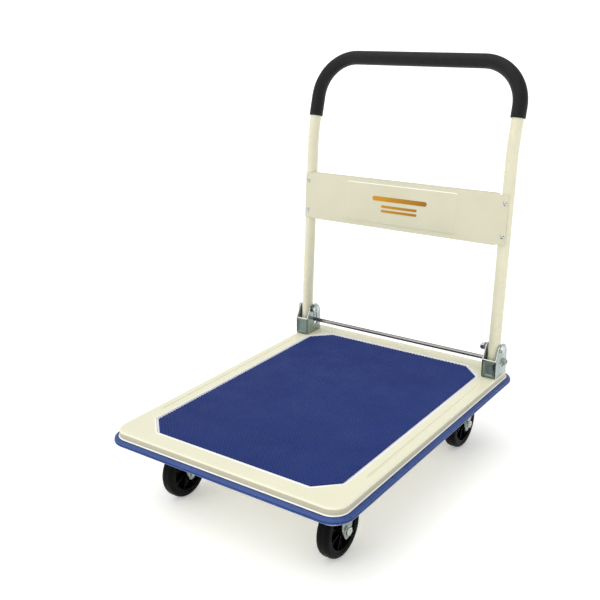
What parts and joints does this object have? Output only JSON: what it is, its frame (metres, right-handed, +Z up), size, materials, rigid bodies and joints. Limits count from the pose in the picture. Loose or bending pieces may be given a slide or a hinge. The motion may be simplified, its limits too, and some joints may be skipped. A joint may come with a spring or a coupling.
{
  "type": "folding platform cart",
  "caption": "Flat platform cart with a bumper, matted deck, fold-down push handle with cross panel, rigid front wheels and swivelling rear casters.",
  "frame": {"origin": "centre of the bounding box in plan, on the floor under the wheels", "axes": "+X to the right, +Y to the rear where the handle stands, +Z up"},
  "size_m": [0.475, 0.6699, 0.7473],
  "materials": {
    "cream_paint": "satin",
    "under_paint": "satin",
    "bumper_blue": "satin",
    "mat_blue": "matte",
    "zinc": "satin",
    "zinc_bright": "satin",
    "spring_steel": "satin",
    "foam_black": "matte",
    "plug_black": "matte",
    "mark_orange": "matte",
    "tyre_black": "matte",
    "core_black": "satin"
  },
  "bodies": {
    "deck": {"deck_pan": "cream_paint", "deck_bumper": "bumper_blue", "deck_mat": "mat_blue", "front_channel": "under_paint", "rear_channel": "under_paint", "side_rail_l": "under_paint", "side_rail_r": "under_paint", "bracket_l": "zinc", "bracket_r": "zinc", "bracket_bolts": "zinc_bright", "bracket_nuts": "zinc_bright", "pivot_bolts": "zinc_bright", "pivot_nuts": "zinc_bright", "rod_spring_l": "spring_steel", "rod_spring_r": "spring_steel", "rigid_fork_fl": "zinc", "rigid_fork_fr": "zinc", "axle_bolts_front": "zinc_bright", "axle_nuts_front": "zinc_bright", "swivel_plate_rl": "zinc", "swivel_plate_rr": "zinc", "swivel_balls_rl": "zinc_bright", "swivel_balls_rr": "zinc_bright", "kingpin_rl": "zinc_bright", "kingpin_rr": "zinc_bright", "caster_bolts": "zinc_bright", "caster_nuts": "zinc_bright"},
    "handle": {"handle_tube": "cream_paint", "handle_grip": "foam_black", "handle_panel": "cream_paint", "panel_screws": "zinc_bright", "panel_mark": "mark_orange", "tube_plugs": "plug_black", "pivot_bushes": "zinc"},
    "lock_rod_body": {"lock_rod": "zinc_bright", "rod_nuts": "zinc_bright"},
    "swivel_rl": {"swivel_fork_rl": "zinc", "axle_bolt_rl": "zinc_bright", "axle_nut_rl": "zinc_bright"},
    "swivel_rr": {"swivel_fork_rr": "zinc", "axle_bolt_rr": "zinc_bright", "axle_nut_rr": "zinc_bright"},
    "wheel_fl": {"tyre_fl": "tyre_black", "wheel_core_fl": "core_black", "wheel_bush_fl": "zinc"},
    "wheel_fr": {"tyre_fr": "tyre_black", "wheel_core_fr": "core_black", "wheel_bush_fr": "zinc"},
    "wheel_rl": {"tyre_rl": "tyre_black", "wheel_core_rl": "core_black", "wheel_bush_rl": "zinc"},
    "wheel_rr": {"tyre_rr": "tyre_black", "wheel_core_rr": "core_black", "wheel_bush_rr": "zinc"}
  },
  "joints": [
    {"name": "handle_fold", "type": "hinge", "parent": "deck", "child": "handle", "pos_m": [0, 0.25664, 0.209], "axis": [1, 0, 0], "range_deg": [0, 98]},
    {"name": "lock_rod_slide", "type": "slide", "parent": "deck", "child": "lock_rod_body", "axis": [0, -0.6198, -0.7848], "range_m": [0, 0.01], "stiffness_N_per_m": 800, "springref_m": -0.004, "deforming": ["rod_spring_l", "rod_spring_r"]},
    {"name": "swivel_rl_turn", "type": "hinge", "parent": "deck", "child": "swivel_rl", "pos_m": [-0.1618, 0.26004, 0.05], "axis": [0, 0, 1], "continuous": true},
    {"name": "swivel_rr_turn", "type": "hinge", "parent": "deck", "child": "swivel_rr", "pos_m": [0.1618, 0.26004, 0.05], "axis": [0, 0, 1], "continuous": true},
    {"name": "wheel_fl_spin", "type": "hinge", "parent": "deck", "child": "wheel_fl", "pos_m": [-0.1618, -0.21996, 0.05], "axis": [1, 0, 0], "continuous": true},
    {"name": "wheel_fr_spin", "type": "hinge", "parent": "deck", "child": "wheel_fr", "pos_m": [0.1618, -0.21996, 0.05], "axis": [1, 0, 0], "continuous": true},
    {"name": "wheel_rl_spin", "type": "hinge", "parent": "swivel_rl", "child": "wheel_rl", "pos_m": [-0.1618, 0.23204, 0.05], "axis": [1, 0, 0], "continuous": true},
    {"name": "wheel_rr_spin", "type": "hinge", "parent": "swivel_rr", "child": "wheel_rr", "pos_m": [0.1618, 0.23204, 0.05], "axis": [1, 0, 0], "continuous": true}
  ]
}
